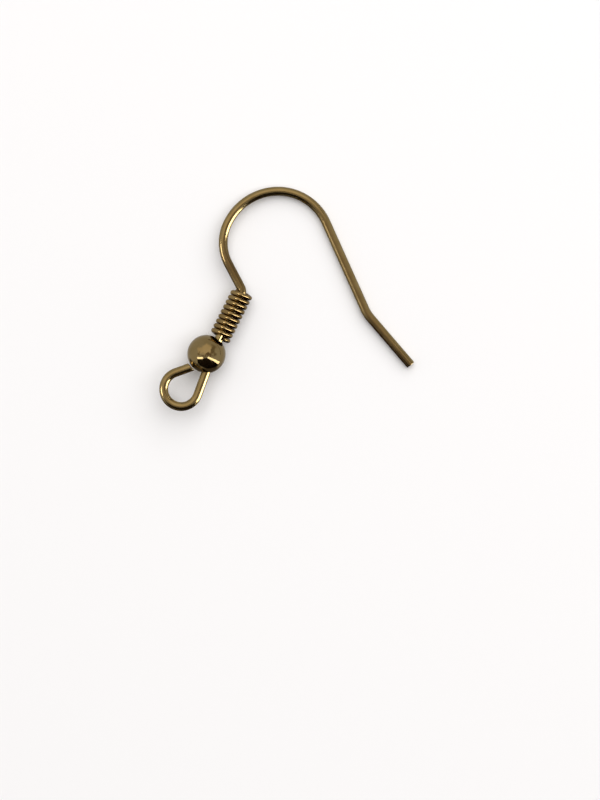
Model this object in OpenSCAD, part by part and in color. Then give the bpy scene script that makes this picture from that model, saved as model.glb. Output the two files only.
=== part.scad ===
// Ear wire with a coil and a bead, for a pierced ear, lying on a flat surface.
// One round wire makes the tail, the arch, the shank and the loop that a drop hangs from.
// A finer wire is wound round the shank. Below it is a hollow bead, drilled a little beside
// its middle for the wire, and the free end of the loop stops against the bead.
//
// Each piece is laid out flat, with the middle of the bead at the origin, +Y up the shank
// towards the arch and +X towards the tail. The whole then tips down about the bead until
// the arch and the tip of the tail touch the surface too.

/* [Wire] */
// Diameter of the hook wire
wire_d = 0.7; // [0.6:0.05:0.8]
// Straight length of the shank
shank_len = 4.1; // [3.2:0.05:5]
// Centreline radius of the sharp bend above the coil
neck_r = 0.7; // [0.6:0.05:1]
// Angle of the sharp bend above the coil
neck_turn = 54.5; // [45:0.5:60]

/* [Hook] */
// Straight length between the sharp bend and the arch
drop_len = 2.1; // [1.5:0.1:3]
// Centreline radius of the arch where the straight length runs into it
front_r = 3.5; // [3:0.1:4]
// Angle of the arch at that radius
front_turn = 52; // [45:0.5:58]
// Centreline radius of the arch up its front side
side_r = 4.4; // [4:0.1:5]
// Angle of the arch at that radius
side_turn = 56; // [50:0.5:62]
// Centreline radius of the arch over its top, where the ear carries it
top_r = 4.1; // [3.7:0.1:4.6]
// Angle of the arch at that radius
top_turn = 75.5; // [70:0.5:80]
// Straight length of the leg behind the ear
leg_len = 7.4; // [6:0.1:9]
// Centreline radius of the bend above the tail
tail_r = 3; // [2:0.1:5]
// Angle that the tail turns outwards
tail_turn = 16.5; // [10:0.5:25]
// Straight length of the tail
tail_len = 4.8; // [4:0.1:6]

/* [Loop] */
// Width of the loop's eye across its round end
eye_d = 2.02; // [1.8:0.02:2.4]
// Distance from the bottom of the bead to the middle of that round end
eye_fall = 1.75; // [1.6:0.05:2.3]
// Angle at which the loop's arm climbs towards the bead
arm_slope = 40; // [34:0.5:46]
// Clear gap between the arm's free end and the bead
arm_gap = 0.05; // [0.03:0.01:0.2]

/* [Bead] */
// Outer diameter of the bead
bead_d = 3; // [2.8:0.1:3.4]
// Thickness of its wall
bead_wall = 0.3; // [0.2:0.05:0.4]
// Distance from the middle of the bead to the middle of the stem that passes through it
stem_off = 0.455; // [0.4:0.005:0.5]
// Clear gap between the stem and the bead's hole round it
hole_gap = 0.1; // [0.08:0.01:0.15]
// Lean of the bead and the loop to one side of the shank
lean = 6.6; // [4:0.2:9]
// Centreline radius of the slight bend that gives that lean
lean_r = 2; // [1.5:0.1:3]
// Height of that bend above the middle of the bead
lean_y = 1; // [0.9:0.02:1.3]

/* [Coil] */
// Diameter of the wound wire
coil_wire_d = 0.39; // [0.3:0.01:0.42]
// Clear gap between the shank and the coil round it
coil_fit = 0.135; // [0.1:0.005:0.16]
// Clear gap between one turn and the next
coil_gap = 0.018; // [0.01:0.002:0.06]
// Clear gap between the bead and the coil above it
coil_seat = 0.24; // [0.16:0.02:0.4]
// Where the coil starts, in degrees round from the front towards the tail
coil_start = 35; // [5:5:60]
// Where it ends, counted the same way
coil_end = 225; // [185:5:240]

/* [Hidden] */

// Neighbouring stretches of wire stop this far short of where they meet, and a ball that
// stands a few thousandths of a millimetre proud of the wire joins them
seam = 0.01;
proud = 0.005;

// Number of sides of a circle across a wire, of a bend and of the bead
wire_fine = 48;
bend_fine = 96;

wire_r = wire_d / 2;
bead_r = bead_d / 2;

hole_r = wire_r + hole_gap;

// The loop has a straight stem on the right, which runs on down from the shank, a round end,
// and on the left a straight arm, which leaves the round end and stops against the bead.
// Here its places are seen from the middle of the bead, with the stem upright.
eye_r = eye_d / 2 + wire_r;
eye_drop = bead_r + eye_fall;
arm_foot = [stem_off - eye_r * (1 + sin(arm_slope)), eye_r * cos(arm_slope) - eye_drop];
// How far the arm's line passes beside the middle of the bead, and how far the foot is from there
arm_side = arm_foot[0] * sin(arm_slope) - arm_foot[1] * cos(arm_slope);
foot_back = -arm_foot[0] * cos(arm_slope) - arm_foot[1] * sin(arm_slope);
// The arm's end is cut slanted, square to a line from the middle of the bead
cut_r = bead_r + arm_gap;
cut_turn = 180 + arm_slope + asin(arm_side / cut_r);
// The wire runs on past that cut by its own diameter before it is cut off
arm_len = foot_back - sqrt(pow(cut_r, 2) - pow(arm_side, 2)) + wire_d;
end_x = arm_foot[0] + arm_len * cos(arm_slope);
end_y = arm_foot[1] + arm_len * sin(arm_slope);
lean_cut = lean_r * tan(lean / 2);

// The wire's route, from the end of the loop's arm to the tip of the tail.
// Each row is a straight run and the bend after it, which turns left where the angle is
// positive.
RUN = 0;
RADIUS = 1;
TURN = 2;
ROUTE = [
    [arm_len, eye_r, 270 - arm_slope],
    [eye_drop + lean_y - lean_cut, lean_r, -lean],
    [shank_len, neck_r, neck_turn],
    [drop_len, front_r, -front_turn],
    [0, side_r, -side_turn],
    [0, top_r, -top_turn],
    [leg_len, tail_r, tail_turn],
    [tail_len, 0, 0]];
EYE = 0;
SHANK = 2;
SIDE = 4;
TOP = 5;
TAIL = 7;

// Places along the route, as [x, y, heading]
function along(at, run) = at + [run * cos(at[2]), run * sin(at[2]), 0];
function hub(at, row) = at + sign(row[TURN]) * row[RADIUS] * [-sin(at[2]), cos(at[2]), 0];
function round_bend(at, row) =
    let (end = at[2] + row[TURN])
    hub(at, row) + [0, 0, row[TURN]] + sign(row[TURN]) * row[RADIUS] * [sin(end), -cos(end), 0];
function run_at(i) =
    i == 0 ?
    [end_x * cos(lean) - end_y * sin(lean),
     end_y * cos(lean) + end_x * sin(lean), arm_slope + lean - 180] :
    round_bend(bend_at(i - 1), ROUTE[i - 1]);
function bend_at(i) = along(run_at(i), ROUTE[i][RUN]);

tip = bend_at(TAIL);
eye = hub(bend_at(EYE), ROUTE[EYE]);
side = hub(bend_at(SIDE), ROUTE[SIDE]);
top = hub(bend_at(TOP), ROUTE[TOP]);

// The shank is upright, and the coil is wound round it in half turns, each a half circle
// that leans so that it climbs half the pitch
shank_x = run_at(SHANK)[0];
neck_y = bend_at(SHANK)[1];
coil_wire_r = coil_wire_d / 2;
coil_r = wire_r + coil_fit + coil_wire_r;
coil_step = coil_wire_d + coil_gap;
coil_pitch = coil_step * coil_r / sqrt(pow(coil_r, 2) - pow(coil_step / 4, 2));
coil_lean = atan2(coil_pitch / 4, coil_r);
// The first turn's left side is nearest to the bead. It has climbed three quarters of the
// pitch there, and clears the bead.
coil_y = sqrt(pow(bead_r, 2) - pow(coil_r - shank_x, 2)) + coil_seat + coil_wire_r
    - 0.75 * coil_pitch;
// The coil runs on up past the start of the sharp bend by less than a turn
coil_halves = 2 * round((neck_y - coil_y) / coil_pitch) + 2;

// The surface touches the bead, the outside of the arch and the tip of the tail. Seen flat,
// the line through the last two is a tangent from the tip to the arch.
top_to_tip = [tip[0] - top[0], tip[1] - top[1]];
downhill = atan2(top_to_tip[1], top_to_tip[0]) + acos(top_r / norm(top_to_tip));
tip_over = asin((bead_r - wire_r) / (tip[0] * cos(downhill) + tip[1] * sin(downhill)));

// Middle of the whole from side to side, between the arch's front and a corner of the tip, and
// from end to end, between the top of the arch and the bottom of the loop
front_x = side[0] - side_r - wire_r;
tip_x = tip[0] + wire_r * abs(sin(tip[2]));
middle_x = (front_x + tip_x) / 2;
middle_y = (top[1] + top_r + eye[1] - eye_r) / 2;

// Puts what was laid out flat down on the surface, over the origin
module lie_down() {
    translate([-middle_x, -middle_y, bead_r])
        rotate(a = tip_over, v = [-sin(downhill), cos(downhill), 0])
        children();
}

// A bend in the XY plane round the Z axis, starting on the X axis
module bend(radius, angle, d, fine) {
    cut = asin(seam / radius);
    rotate([0, 0, cut])
        rotate_extrude(angle = angle - 2 * cut, $fn = bend_fine)
        translate([radius, 0])
        circle(d = d, $fn = fine);
}

// The ball that joins two stretches of wire, with its poles along the wire's heading
module joint(heading, d, fine) {
    rotate([90, 0, heading + 90])
        sphere(r = d / 2 + proud, $fn = fine);
}

// The straight run of one row, and its bend
module stretch(i) {
    row = ROUTE[i];
    at = run_at(i);
    corner = bend_at(i);
    if (row[RUN] > 0)
        translate([at[0], at[1], 0])
            rotate([0, 90, at[2]])
            translate([0, 0, i > 0 ? seam : 0])
            cylinder(d = wire_d, h = row[RUN] - (i > 0 && i < TAIL ? 2 : 1) * seam, $fn = wire_fine);
    if (row[RADIUS] > 0)
        translate([hub(corner, row)[0], hub(corner, row)[1], 0])
            rotate([0, 0, row[TURN] > 0 ? corner[2] - 90 : corner[2] + row[TURN] + 90])
            bend(row[RADIUS], abs(row[TURN]), wire_d, wire_fine);
}

module ear_hook() {
    color("goldenrod")
    lie_down() {
        difference() {
            stretch(EYE);
            rotate([0, 0, lean + cut_turn])
                translate([cut_r - wire_d * 2, -wire_d, -wire_d])
                cube(wire_d * 2);
        }
        for (i = [EYE + 1 : TAIL])
            stretch(i);
        for (i = [0 : TAIL - 1])
            translate([bend_at(i)[0], bend_at(i)[1], 0])
                joint(bend_at(i)[2], wire_d, wire_fine);
        for (i = [1 : TAIL])
            if (ROUTE[i][RUN] > 0)
                translate([run_at(i)[0], run_at(i)[1], 0])
                    joint(run_at(i)[2], wire_d, wire_fine);
    }
}

// One half turn of the coil, or the stretch of it between two angles
module half_turn(from, to) {
    translate([0, coil_pitch / 4, 0])
        rotate([coil_lean, 0, 0])
        rotate([-90, -90, 0])
        rotate([0, 0, from])
        bend(coil_r / cos(coil_lean), to - from, coil_wire_d, wire_fine / 2);
}

module coil() {
    last = coil_halves - 1;
    color("darkgoldenrod")
    lie_down()
    translate([shank_x, coil_y, 0])
    for (i = [0 : last])
        translate([0, i * coil_pitch / 2, 0])
            rotate([0, i * 180, 0]) {
                half_turn(i == 0 ? coil_start : 0, i == last ? coil_end - 180 : 180);
                if (i > 0)
                    translate([0, 0, coil_r])
                        joint(0, coil_wire_d, wire_fine / 2);
            }
}

module bead() {
    color("gold")
    lie_down()
    difference() {
        sphere(r = bead_r, $fn = bend_fine);
        sphere(r = bead_r - bead_wall, $fn = bend_fine);
        rotate([90, 0, lean])
            translate([stem_off, 0, 0])
            cylinder(r = hole_r, h = 2 * bead_d, center = true, $fn = bend_fine);
    }
}

ear_hook();
coil();
bead();
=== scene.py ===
# Ear wire lying on a pale floor: the hook's wire, the coil round its shank and its bead.
# The part's lengths are in millimetres, and each mesh is turned into metres when it is laid
# down. The studio's lengths are in metres.
import math

import bpy
from mathutils import Matrix, Vector


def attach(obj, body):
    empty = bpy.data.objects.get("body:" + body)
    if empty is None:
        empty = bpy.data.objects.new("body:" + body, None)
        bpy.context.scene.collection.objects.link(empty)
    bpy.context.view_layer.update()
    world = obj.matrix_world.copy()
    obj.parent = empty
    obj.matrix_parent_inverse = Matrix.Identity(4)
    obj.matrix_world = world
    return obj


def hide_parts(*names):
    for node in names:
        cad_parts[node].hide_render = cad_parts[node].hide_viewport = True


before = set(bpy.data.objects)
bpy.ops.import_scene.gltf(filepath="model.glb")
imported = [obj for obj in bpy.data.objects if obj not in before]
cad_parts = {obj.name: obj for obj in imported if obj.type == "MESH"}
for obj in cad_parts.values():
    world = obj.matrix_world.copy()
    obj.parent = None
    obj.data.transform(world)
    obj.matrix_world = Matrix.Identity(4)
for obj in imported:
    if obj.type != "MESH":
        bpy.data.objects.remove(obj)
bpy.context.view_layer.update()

MM = 0.001

# Sizes of the part, with its angles in degrees
WIRE_R = 0.35
BEAD_R = 1.5
BEAD_WALL = 0.3
STEM_OFF = 0.455
HOLE_R = 0.45
LEAN = 6.6
LEAN_R = 2.0
LEAN_Y = 1.0
EYE_R = 1.36
EYE_FALL = 1.75
ARM_SLOPE = 40
ARM_GAP = 0.05
COIL_WIRE_R = 0.195
COIL_R = 0.68
COIL_STEP = 0.408
COIL_SEAT = 0.24
COIL_START = 35
COIL_END = 3465

# Rounding of the wires' cut ends and of the bead's rims
HOOK_EDGE = 0.05
COIL_EDGE = 0.04
BEAD_EDGE = 0.06

# Distance or angle between the rings of a swept wire, and the number of sides of a ring
RING_STEP = 0.08
COIL_TURN_STEP = 5
HOOK_SIDES = 40
COIL_SIDES = 28

# Slices round the bead, and steps along the outside and the inside of each
BEAD_SIDES = 144
BEAD_STEPS = 90
BEAD_INSIDE_STEPS = 40


def sind(angle):
    return math.sin(math.radians(angle))


def cosd(angle):
    return math.cos(math.radians(angle))


def ramp(value, none, full):
    """0 where the value is at none or beyond it, 1 at full or beyond it, and even between."""
    return min(1.0, max(0.0, (value - none) / (full - none)))


# The loop's arm ends against the bead, cut square to a line from the bead's middle. Here it
# is seen from the middle of the bead, with the stem upright.
foot = Vector((STEM_OFF - EYE_R * (1 + sind(ARM_SLOPE)),
               EYE_R * cosd(ARM_SLOPE) - BEAD_R - EYE_FALL))
climb_on = Vector((cosd(ARM_SLOPE), sind(ARM_SLOPE)))
arm_side = foot.x * climb_on.y - foot.y * climb_on.x
cut_r = BEAD_R + ARM_GAP
cut_depth = math.sqrt(cut_r**2 - arm_side**2)
arm_len = -foot.dot(climb_on) - cut_depth
arm_slant = -arm_side / cut_depth
arm_end = foot + climb_on * arm_len
stem_len = BEAD_R + EYE_FALL + LEAN_Y - LEAN_R * math.tan(math.radians(LEAN / 2))

# Each row is a straight run of the hook's wire, and the radius and turn of the bend after it
ROUTE = [
    (arm_len, EYE_R, 270 - ARM_SLOPE),
    (stem_len, LEAN_R, -LEAN),
    (4.1, 0.7, 54.5),
    (2.1, 3.5, -52),
    (0, 4.4, -56),
    (0, 4.1, -75.5),
    (7.4, 3.0, 16.5),
    (4.8, 0, 0),
]
EYE, SHANK, SIDE, TOP, TAIL = 0, 2, 4, 5, 7


def walk():
    """The hook's centreline as (x, y, heading), with the start of each row and each hub."""
    x = arm_end.x * cosd(LEAN) - arm_end.y * sind(LEAN)
    y = arm_end.y * cosd(LEAN) + arm_end.x * sind(LEAN)
    heading = ARM_SLOPE + LEAN - 180
    line, starts, hubs = [(x, y, heading)], [], []
    for run, radius, turn in ROUTE:
        starts.append((x, y))
        steps = math.ceil(run / RING_STEP)
        for _ in range(steps):
            x += run / steps * cosd(heading)
            y += run / steps * sind(heading)
            line.append((x, y, heading))
        side = math.copysign(radius, turn)
        hub = (x - side * sind(heading), y + side * cosd(heading))
        hubs.append(hub)
        steps = math.ceil(radius * math.radians(abs(turn)) / RING_STEP)
        for _ in range(steps):
            heading += turn / steps
            x, y = hub[0] + side * sind(heading), hub[1] - side * cosd(heading)
            line.append((x, y, heading))
    return line, starts, hubs


line, starts, hubs = walk()
tip_x, tip_y, tail_heading = line[-1]
shank_x = starts[SHANK][0]

# The flat layout tips down about the bead until the arch and the tip touch the floor
side_r, top_r = ROUTE[SIDE][1], ROUTE[TOP][1]
to_tip = Vector((tip_x - hubs[TOP][0], tip_y - hubs[TOP][1]))
downhill = math.atan2(to_tip.y, to_tip.x) + math.acos(top_r / to_tip.length)
tip_over = math.asin(
    (BEAD_R - WIRE_R) / (tip_x * math.cos(downhill) + tip_y * math.sin(downhill))
)
front_x = hubs[SIDE][0] - side_r - WIRE_R
middle_x = (front_x + tip_x + WIRE_R * abs(sind(tail_heading))) / 2
middle_y = (hubs[TOP][1] + top_r + hubs[EYE][1] - EYE_R) / 2
tip_axis = Vector((-math.sin(downhill), math.cos(downhill), 0))
LIE_DOWN = (
    Matrix.Scale(MM, 4)
    @ Matrix.Translation((-middle_x, -middle_y, BEAD_R))
    @ Matrix.Rotation(tip_over, 4, tip_axis)
)


def piece(name, node, slot, material, points, faces, painted_shade, satin=None):
    """Lays one piece down where its CAD node is.

    Its per-point painted shade is 0 where a point is open to the light and 1 where its colour is
    darkened fully, deep between two surfaces or in a painted dark streak. satin is 0 where it is
    bright and 1 where it is dull, and a piece without it is bright all over.
    """
    mesh = bpy.data.meshes.new(name)
    mesh.from_pydata([LIE_DOWN @ Vector(p) for p in points], [], faces)
    for layer, values in (("painted_shade", painted_shade), ("satin", satin or [0.0] * len(points))):
        mesh.attributes.new(layer, "FLOAT", "POINT").data.foreach_set("value", values)
    mesh.polygons.foreach_set("use_smooth", [True] * len(mesh.polygons))
    mesh.materials.append(material)
    obj = bpy.data.objects.new(name, mesh)
    bpy.context.scene.collection.objects.link(obj)
    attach(obj, "root")
    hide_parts(node)
    return obj


def swept(stations, radius, sides, edge, shade, slant=0.0):
    """A closed round wire through stations of (centre, side, up), with both cut ends rounded.

    slant is how far the first end's cut is out of square, and shade(centre, outward) says how
    much painted shade a point gets.
    """
    caps = []
    for end, beyond, lean in ((0, 1, slant), (-1, -2, 0.0)):
        centre, side, up = stations[end]
        inward = (stations[beyond][0] - centre).normalized()
        side = side + inward * lean
        cap = [(centre, side, up, (radius - edge) / 2)]
        for a in (90, 60, 30, 0):
            cap.append((centre + inward * edge * (1 - sind(a)), side, up,
                        radius - edge * (1 - cosd(a))))
        caps.append(cap)
    # No ring stands so near an end that it would cut through the rings of its rounding
    clear_first = edge + radius * abs(slant) * 1.2
    clear_last = edge * 1.5
    between = [(c, s, u, radius) for c, s, u in stations
               if (c - stations[0][0]).length > clear_first
               and (c - stations[-1][0]).length > clear_last]
    rows = caps[0] + between + caps[1][::-1]
    points, painted_shade, faces = [], [], []
    for centre, side, up, r in rows:
        for k in range(sides):
            out = side * cosd(360 * k / sides) + up * sind(360 * k / sides)
            points.append(centre + out * r)
            painted_shade.append(shade(centre, out))
    for i in range(len(rows) - 1):
        for k in range(sides):
            a, b = i * sides + k, i * sides + (k + 1) % sides
            faces.append((a, b, b + sides, a + sides))
    last = (len(rows) - 1) * sides
    for centre, first, flip in ((rows[0][0], 0, True), (rows[-1][0], last, False)):
        points.append(centre)
        painted_shade.append(shade(centre, Vector((0, 0, 0))))
        for k in range(sides):
            fan = (first + k, first + (k + 1) % sides, len(points) - 1)
            faces.append(fan[::-1] if flip else fan)
    return points, faces, painted_shade


def set_inputs(node, inputs):
    """Sets each input of a node to a value, or links it to a socket."""
    for name, value in inputs.items():
        if isinstance(value, bpy.types.NodeSocket):
            node.id_data.links.new(value, node.inputs[name])
        else:
            node.inputs[name].default_value = value


def new_node(tree, kind, inputs, **settings):
    """Adds a shader node, with its settings made first, as they choose its sockets."""
    node = tree.nodes.new("ShaderNode" + kind)
    for name, value in settings.items():
        setattr(node, name, value)
    set_inputs(node, inputs)
    return node


# The plate's soft clouds, patches of gloss and fine marks, each as the noise's scale in a
# millimetre, its detail and its stretch
CLOUDS = (0.9, 4, (1, 1, 1))
PATCHES = (3.0, 6, (1, 1, 1))
MARKS = (5.0, 3, (1, 0.35, 1))
# The part of the noise over which the two tones and the gloss change
CLOUD_RANGE = (0.35, 0.65)
PATCH_RANGE = (0.3, 0.7)
MARKS_STRENGTH = 0.35
MARKS_DEPTH = 0.01
# What a dull patch and a satin finish add to the roughness
PATCH_ROUGH = 0.1
SATIN_ROUGH = 0.16


def gold(name, light, dark, shade_colour, rough, grain, rim):
    """Antique gold plate, in two tones that lie in soft clouds.

    Where a point has painted shade, its colour is darkened towards the third colour given, the
    painted shade colour; rough is its least roughness, grain the depth of its fine marks against
    the usual one, and rim the tint of what it mirrors at its edges.
    """
    mat = bpy.data.materials.new(name)
    mat.use_nodes = True
    tree = mat.node_tree
    place = new_node(tree, "TexCoord", {}).outputs["Object"]

    def noise(scale, detail, stretch):
        mapping = new_node(tree, "Mapping", {"Vector": place, "Scale": stretch})
        return new_node(tree, "TexNoise", {
            "Vector": mapping.outputs["Vector"], "Scale": scale / MM, "Detail": detail,
        }).outputs["Fac"]

    clouds = new_node(tree, "ValToRGB", {"Fac": noise(*CLOUDS)})
    for element, position, tone in zip(clouds.color_ramp.elements, CLOUD_RANGE, (dark, light)):
        element.position = position
        element.color = (*tone, 1)
    # Painted shade: the cloud colours are darkened towards the painted shade colour, as far as
    # each point's painted shade value says
    painted_shade = new_node(tree, "Attribute", {}, attribute_name="painted_shade")
    shaded = new_node(tree, "Mix", {
        "Factor": painted_shade.outputs["Fac"], "A": clouds.outputs["Color"], "B": (*shade_colour, 1),
    }, data_type="RGBA")
    gloss = new_node(tree, "MapRange", {
        "Value": noise(*PATCHES), "From Min": PATCH_RANGE[0], "From Max": PATCH_RANGE[1],
        "To Min": rough, "To Max": rough + PATCH_ROUGH,
    })
    satin = new_node(tree, "Attribute", {}, attribute_name="satin")
    dull = new_node(tree, "Math", {
        0: satin.outputs["Fac"], 1: SATIN_ROUGH, 2: gloss.outputs["Result"],
    }, operation="MULTIPLY_ADD")
    bump = new_node(tree, "Bump", {
        "Height": noise(*MARKS), "Strength": MARKS_STRENGTH,
        "Distance": MARKS_DEPTH * MM * grain,
    })
    set_inputs(tree.nodes["Principled BSDF"], {
        "Metallic": 1.0, "Specular Tint": (*rim, 1), "Base Color": shaded.outputs["Result"],
        "Roughness": dull.outputs["Value"], "Normal": bump.outputs["Normal"],
    })
    return mat


# The third colour of each gold is its painted shade colour, the darkest it is painted where
# painted shade is laid on
wire_gold = gold("wire_gold", light=(0.42, 0.305, 0.13), dark=(0.36, 0.25, 0.098),
                 shade_colour=(0.1, 0.044, 0.014), rough=0.12, grain=0.25, rim=(0.8, 0.78, 0.74))
coil_gold = gold("coil_gold", light=(0.42, 0.29, 0.12), dark=(0.35, 0.23, 0.085),
                 shade_colour=(0.05, 0.015, 0.006), rough=0.05, grain=0.15, rim=(0.8, 0.78, 0.75))
bead_gold = gold("bead_gold", light=(0.39, 0.28, 0.125), dark=(0.34, 0.235, 0.095),
                 shade_colour=(0.03, 0.012, 0.005), rough=0.04, grain=0.25, rim=(1, 1, 1))

# How dark the hook's painted shade gets: a painted dark reflection in a streak along the leg and
# along the tail, and painted shade in the bend above the coil. 0 is bright and 1 is the darkest
# painted shade.
LEG_SHADE = 0.5
TAIL_SHADE = 0.95
BEND_SHADE = 0.6
# Each pair says where a painted shade is none and where it is full: in the bead, in parts of the
# bead's radius from its middle; along the leg and the tail, in x; across them, from -1 at the
# wire's inside to 1 at its outside; and along the bend, in y from its middle at BEND_Y
IN_BEAD = (20 / 21, 5 / 6)
LEG_FADE = (1, 4)
TAIL_FADE = (starts[TAIL][0] - 0.5, starts[TAIL][0] + 0.5)
LEG_STREAK = (0.72, 0.12)
LEG_STREAK_MIDDLE = -0.25
TAIL_STREAK = (-0.55, -0.7)
BEND_FADE = (2, 0)
BEND_Y = 6.8
# Direction across the leg, to the outside of the hook. It is nearly right for the tail too.
LEG_SIDE = Vector((0.5, 0.866, 0))


def hook_shade(centre, out):
    """Painted shade in the bead, in the bend over the coil and in streaks along leg and tail."""
    in_bead = ramp(math.hypot(centre.x, centre.y) / BEAD_R, *IN_BEAD)
    across = out.dot(LEG_SIDE)
    # The leg's and the tail's streaks are painted dark reflections along one side of the wire
    leg = ramp(centre.x, *LEG_FADE) * ramp(abs(across - LEG_STREAK_MIDDLE), *LEG_STREAK)
    tail = ramp(centre.x, *TAIL_FADE) * ramp(across, *TAIL_STREAK)
    bend = ramp(abs(centre.y - BEND_Y), *BEND_FADE) if centre.x < LEG_FADE[0] else 0
    return max(in_bead, LEG_SHADE * leg, TAIL_SHADE * tail, BEND_SHADE * bend)


Z = Vector((0, 0, 1))
hook_line = [
    (Vector((x, y, 0)), Vector((-sind(h), cosd(h), 0)), Z) for x, y, h in line
]
points, faces, painted_shade = swept(hook_line, WIRE_R, HOOK_SIDES, HOOK_EDGE, hook_shade, arm_slant)
# The satin fades out again over the tail's last stretch
TIP_FADE = 3
tip = Vector((tip_x, tip_y, 0))
satin = [min(ramp(p.x, *LEG_FADE), (p - tip).length / TIP_FADE) for p in points]
hook = piece("hook_wire", "ear_hook", "gold_wire", wire_gold, points, faces, painted_shade, satin)


# The coil is one helix. It starts in front and climbs towards the tail's side.
coil_pitch = COIL_STEP * COIL_R / math.sqrt(COIL_R**2 - (COIL_STEP / 4) ** 2)
coil_y = (math.sqrt(BEAD_R**2 - (COIL_R - shank_x) ** 2)
          + COIL_SEAT + COIL_WIRE_R - 0.75 * coil_pitch)
climb = math.atan2(coil_pitch / (2 * math.pi), COIL_R)


def coil_station(turn):
    """The middle of the coil's wire at a turn in degrees, with the directions of its ring."""
    outward = Vector((sind(turn), 0, cosd(turn)))
    ahead = Vector((cosd(turn), 0, -sind(turn)))
    ahead = ahead * math.cos(climb) + Vector((0, math.sin(climb), 0))
    centre = Vector((shank_x, coil_y + coil_pitch * turn / 360, 0)) + outward * COIL_R
    return centre, outward, ahead.cross(outward)


# The coil's painted shade between its turns starts this far below and above the middle of its
# wire, in parts of the wire's radius, and it is full after GAP_FADE. On the tail's side, which
# is reached within TAIL_SIDE_FADE millimetres of the shank's middle, it starts nearer by the
# next two, which lays a painted dark reflection over the lower part of each turn there.
GAP_START = 0.93
LOW_NEARER = 0.78
HIGH_NEARER = 0.13
GAP_FADE = 0.2
TAIL_SIDE_FADE = 0.12
# How squarely the wire faces the shank where that painted shade is none and where it is full
FACES_SHANK = (0.3, 0.8)


def coil_shade(centre, out):
    """Painted shade between the turns, most on the tail's side, and where it faces the shank."""
    inward = (Vector((shank_x, centre.y, 0)) - centre).normalized()
    tail_side = ramp(centre.x, shank_x, shank_x + TAIL_SIDE_FADE)
    # On the tail's side the lower part of each turn gets a painted dark reflection
    low = GAP_START - LOW_NEARER * tail_side
    high = GAP_START - HIGH_NEARER * tail_side
    return max(ramp(-out.y, low, low + GAP_FADE), ramp(out.y, high, high + GAP_FADE),
               ramp(out.dot(inward), *FACES_SHANK))


coil_line = [coil_station(t) for t in range(COIL_START, COIL_END + 1, COIL_TURN_STEP)]
coil = piece("coil_wire", "coil", "gold_coil", coil_gold,
             *swept(coil_line, COIL_WIRE_R, COIL_SIDES, COIL_EDGE, coil_shade))


def bead_profile(turn):
    """The wall's outline on one side of the hole, as (distance from its axis, height).

    It runs from the top rim round the outside to the bottom rim, and back up the inside.
    """
    edge = BEAD_EDGE
    beside = STEM_OFF * cosd(turn)
    outline = []
    for ball_r, steps, flip in ((BEAD_R, BEAD_STEPS, 1),
                                (BEAD_R - BEAD_WALL, BEAD_INSIDE_STEPS, -1)):
        r = math.sqrt(ball_r**2 - (STEM_OFF * sind(turn)) ** 2)
        first = math.degrees(math.asin((HOLE_R + beside) / r))
        soft = math.degrees(edge / r) if flip == 1 else 0
        arc = [first + soft + (180 - 2 * (first + soft)) * i / steps for i in range(steps + 1)]
        curve = [(r * sind(a) - beside, r * cosd(a)) for a in arc[::flip]]
        if flip == 1:
            # The rim is rounded in three steps
            top = r * cosd(first)
            rim = [(HOLE_R, top - edge), (HOLE_R + 0.1 * edge, top - 0.4 * edge),
                   (HOLE_R + 0.45 * edge, top - 0.1 * edge)]
            curve = rim + curve + [(x, -y) for x, y in rim[::-1]]
        outline += curve
    return outline


def bead_shell(sides):
    """The bead's wall, leaning with the stem, with painted shade inside and at the hole's rims.
    """
    rim_fade = 0.04
    skin = 0.02
    lean = Matrix.Rotation(math.radians(LEAN), 3, "Z")
    points, painted_shade, faces = [], [], []
    for k in range(sides):
        turn = 360 * k / sides
        profile = bead_profile(turn)
        for away, y in profile:
            p = Vector((STEM_OFF + away * cosd(turn), y, away * sind(turn)))
            points.append(lean @ p)
            inside = p.length < BEAD_R - skin
            # Painted shade: full inside the bead and fading out just past the hole's rims
            painted_shade.append(1.0 if inside else ramp(away, HOLE_R + rim_fade, HOLE_R))
    n = len(profile)
    for k in range(sides):
        for i in range(n):
            a, b = k * n + i, k * n + (i + 1) % n
            c, d = (k + 1) % sides * n + (i + 1) % n, (k + 1) % sides * n + i
            faces.append((d, c, b, a))
    return points, faces, painted_shade


bead = piece("bead_shell", "bead", "gold_bead", bead_gold, *bead_shell(BEAD_SIDES))


# The camera looks square at the hook's plane, turned so that the shank leans as in the photo.
# The photo's scale is in pixels a millimetre, and the aim is in the flat layout.
PHOTO_SCALE = 12.83
VIEW_AIM = (8.121, 0.095)
VIEW_ROLL = 26.87
LENS = 100
SENSOR = 36
LONG_SIDE = 800

BEAD_AT = LIE_DOWN.translation
turned = LIE_DOWN.to_3x3().normalized()
right = turned @ Vector((cosd(VIEW_ROLL), sind(VIEW_ROLL), 0))
up = turned @ Vector((-sind(VIEW_ROLL), cosd(VIEW_ROLL), 0))
toward = right.cross(up)
aim = LIE_DOWN @ Vector((*VIEW_AIM, 0))
camera = bpy.data.objects.new("camera", bpy.data.cameras.new("camera"))
camera.data.lens = LENS
camera.data.sensor_width = SENSOR
camera.data.clip_start = 0.01
distance = LENS * LONG_SIDE / (SENSOR * PHOTO_SCALE) * MM
camera.matrix_world = Matrix.Translation(aim + toward * distance) @ Matrix(
    (right, up, toward)).transposed().to_4x4()
bpy.context.scene.collection.objects.link(camera)
bpy.context.scene.camera = camera


def at(across, down, out):
    """A place in the studio, in metres from what the camera aims at, as the photo shows it."""
    return aim + right * across - up * down + toward * out


def mirrored(nx, ny):
    """The direction that the bead mirrors where its normal points nx to the right and ny down."""
    nz = math.sqrt(1 - nx**2 - ny**2)
    return right * (2 * nz * nx) - up * (2 * nz * ny) + toward * (2 * nz**2 - 1)


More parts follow.
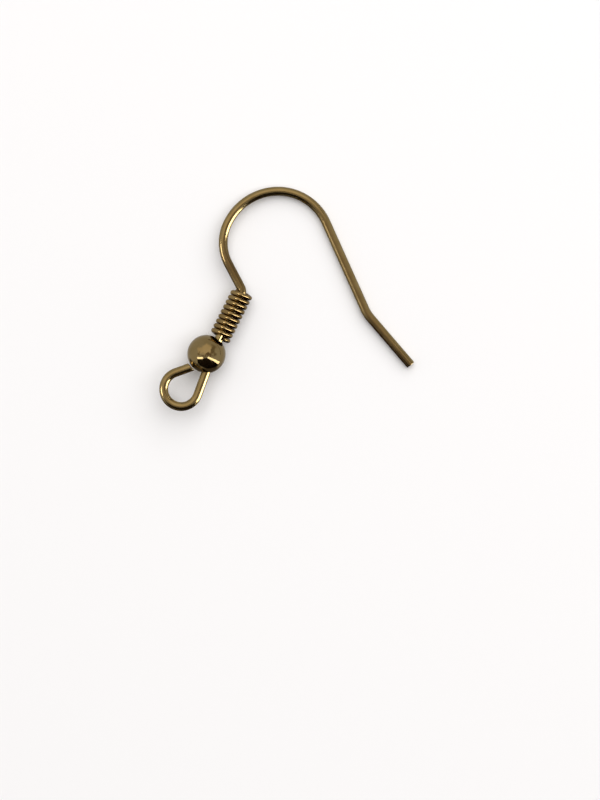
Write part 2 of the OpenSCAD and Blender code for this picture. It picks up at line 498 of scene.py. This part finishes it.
def panel(name, corners, material):
    """A sheet of the studio, as a fan of triangles round the middle of its corners."""
    middle = sum(corners, Vector()) / len(corners)
    n = len(corners)
    mesh = bpy.data.meshes.new(name)
    mesh.from_pydata([*corners, middle], [], [(i, (i + 1) % n, n) for i in range(n)])
    mesh.materials.append(material)
    obj = bpy.data.objects.new(name, mesh)
    bpy.context.scene.collection.objects.link(obj)
    return obj


def hung(name, outline, away, material):
    """A sheet hung at a distance, out of the camera's sight.

    Its outline is given as the bead's normals that mirror it.
    """
    sheet = panel(name, [BEAD_AT + mirrored(*normal) * away for normal in outline], material)
    sheet.visible_camera = False
    sheet.visible_shadow = False


def plain(name, colour, rough):
    """A matt material for the studio."""
    mat = bpy.data.materials.new(name)
    mat.use_nodes = True
    set_inputs(mat.node_tree.nodes["Principled BSDF"], {
        "Base Color": (*colour, 1), "Roughness": rough, "Specular IOR Level": 0.1,
    })
    return mat


# Half the floor's side. The metal doesn't mirror the floor, because the undersides of the
# wires are dark in the photo.
FLOOR = 1.5
floor = panel("floor", [Vector((x, y, 0)) for x, y in
                        ((-FLOOR, -FLOOR), (FLOOR, -FLOOR), (FLOOR, FLOOR), (-FLOOR, FLOOR))],
              plain("floor_paper", (0.885, 0.88, 0.88), 0.9))
floor.visible_glossy = False

# A dark cloth, which the bead mirrors below its two windows
FLAG_AWAY = 0.7
hung("flag", [(-0.46, 0.2), (0.08, 0.2), (0.38, 0.3), (0.63, 0.42), (0.69, 0.5), (0.52, 0.66),
              (0.3, 0.745), (0.05, 0.76), (-0.2, 0.68), (-0.44, 0.46)], FLAG_AWAY,
     plain("flag_cloth", (0.012, 0.008, 0.006), 1.0))

LAMP_TINT = (0.96, 0.97, 1)


def lamp(name, size, width, radiance, matrix):
    """An oblong area lamp that looks equally bright at any size."""
    light = bpy.data.lights.new(name, "AREA")
    light.shape = "RECTANGLE"
    light.size, light.size_y = size, width
    light.energy = radiance * math.pi * size * width
    light.color = LAMP_TINT
    obj = bpy.data.objects.new(name, light)
    obj.matrix_world = matrix
    bpy.context.scene.collection.objects.link(obj)
    return obj


def glint(name, start, end, width, radiance, receiver, place=BEAD_AT, away=0.45):
    """A lamp that lights one piece alone, and shows where its normals point from start to end.

    It hangs away from a place, out of the camera's sight.
    """
    a, b = (place + mirrored(*normal) * away for normal in (start, end))
    x = (b - a).normalized()
    z = (a + b) / 2 - place
    z = (z - x * z.dot(x)).normalized()
    axes = Matrix((x, z.cross(x), z)).transposed().to_4x4()
    obj = lamp(name, (b - a).length, width, radiance, Matrix.Translation((a + b) / 2) @ axes)
    obj.visible_camera = False
    only = bpy.data.collections.new(name)
    only.objects.link(receiver)
    obj.light_linking.receiver_collection = only


glint("window_left", (-0.46, 0.21), (-0.17, 0.21), 0.075, 3.6, bead)
glint("window_right", (0.09, 0.18), (0.4, 0.32), 0.075, 3.6, bead)
glint("window_low", (0.4, 0.32), (0.66, 0.48), 0.08, 3.6, bead)
glint("glint_left", (-0.5, -0.04), (-0.48, 0.15), 0.13, 7, hook)
glint("glint_right", (0.66, 0.06), (0.46, 0.41), 0.38, 7.5, hook)
glint("glint_coil_left", (-0.28, -0.13), (-0.14, -0.07), 0.07, 8, coil)
glint("glint_coil_right", (0.1, 0.03), (0.68, 0.26), 0.07, 8, coil)

# The short streak on the stem, between the coil and the bead
STEM_FRONT = Vector((0.38, 1.5, 0.33))
glint("glint_stem", (0.2, 0.07), (0.44, 0.16), 0.0009, 9, hook, LIE_DOWN @ STEM_FRONT, 0.002)

# The overhead lamp lights the floor, and the metal doesn't mirror it
OVERHEAD_SIDE = 1.2
OVERHEAD_RADIANCE = 1.95
above = at(0.2, -0.25, 0.7)
facing_down = (above - aim).to_track_quat("Z", "Y").to_matrix().to_4x4()
overhead = lamp("overhead", OVERHEAD_SIDE, OVERHEAD_SIDE, OVERHEAD_RADIANCE,
                Matrix.Translation(above) @ facing_down)
overhead.visible_glossy = False

world = bpy.data.worlds.new("studio")
world.use_nodes = True
walls_tree = world.node_tree
# Each way out to the walls is bent a little by noise, so the tones on them have ragged edges
NOISE_MIDDLE = (0.5, 0.5, 0.5)
BENT = (0.5, 0.5, 0.5)
straight = new_node(walls_tree, "TexCoord", {}).outputs["Generated"]
ragged = new_node(walls_tree, "TexNoise", {"Vector": straight, "Scale": 2.2, "Detail": 3})
centred = new_node(walls_tree, "VectorMath", {0: ragged.outputs["Color"], 1: NOISE_MIDDLE},
                   operation="SUBTRACT")
way = new_node(walls_tree, "VectorMath", {0: centred.outputs["Vector"], 1: BENT, 2: straight},
               operation="MULTIPLY_ADD")


def wall(below, normal, inner, outer, tone):
    """Shades the walls towards tone, round the direction that the bead mirrors at a normal.

    The tone is full up to the inner angle from that direction, and gone at the outer one.
    """
    dot = new_node(walls_tree, "VectorMath", {0: way.outputs["Vector"], 1: mirrored(*normal)},
                   operation="DOT_PRODUCT")
    near = new_node(walls_tree, "MapRange", {
        "Value": dot.outputs["Value"], "From Min": cosd(outer), "From Max": cosd(inner),
    }, interpolation_type="SMOOTHSTEP")
    mix = new_node(walls_tree, "Mix", {
        "Factor": near.outputs["Result"], "A": below, "B": (*tone, 1),
    }, data_type="RGBA")
    return mix.outputs["Result"]


# The walls start as a plain grey
walls = (0.5, 0.5, 0.5, 1)
for shading in (
    ((-0.16, -0.2), 18, 38, (0.78, 0.72, 0.64)),
    ((0.1, -0.22), 18, 38, (0.84, 0.78, 0.7)),
    ((0.42, -0.3), 4, 22, (0.3, 0.27, 0.22)),
    ((0.42, -0.1), 4, 22, (0.26, 0.23, 0.18)),
    ((0.26, 0.06), 4, 20, (0.24, 0.2, 0.16)),
    ((0.08, 0.1), 4, 20, (0.2, 0.16, 0.12)),
    ((-0.1, 0.09), 4, 18, (0.22, 0.18, 0.14)),
    ((-0.27, 0.08), 4, 18, (0.27, 0.23, 0.18)),
    ((-0.54, 0.67), 18, 36, (0.02, 0.016, 0.012)),
    ((0.0, 0.9), 20, 45, (0.095, 0.085, 0.075)),
):
    walls = wall(walls, *shading)
set_inputs(walls_tree.nodes["Background"], {"Color": walls})
bpy.context.scene.world = world
bpy.context.scene.view_settings.view_transform = "Standard"
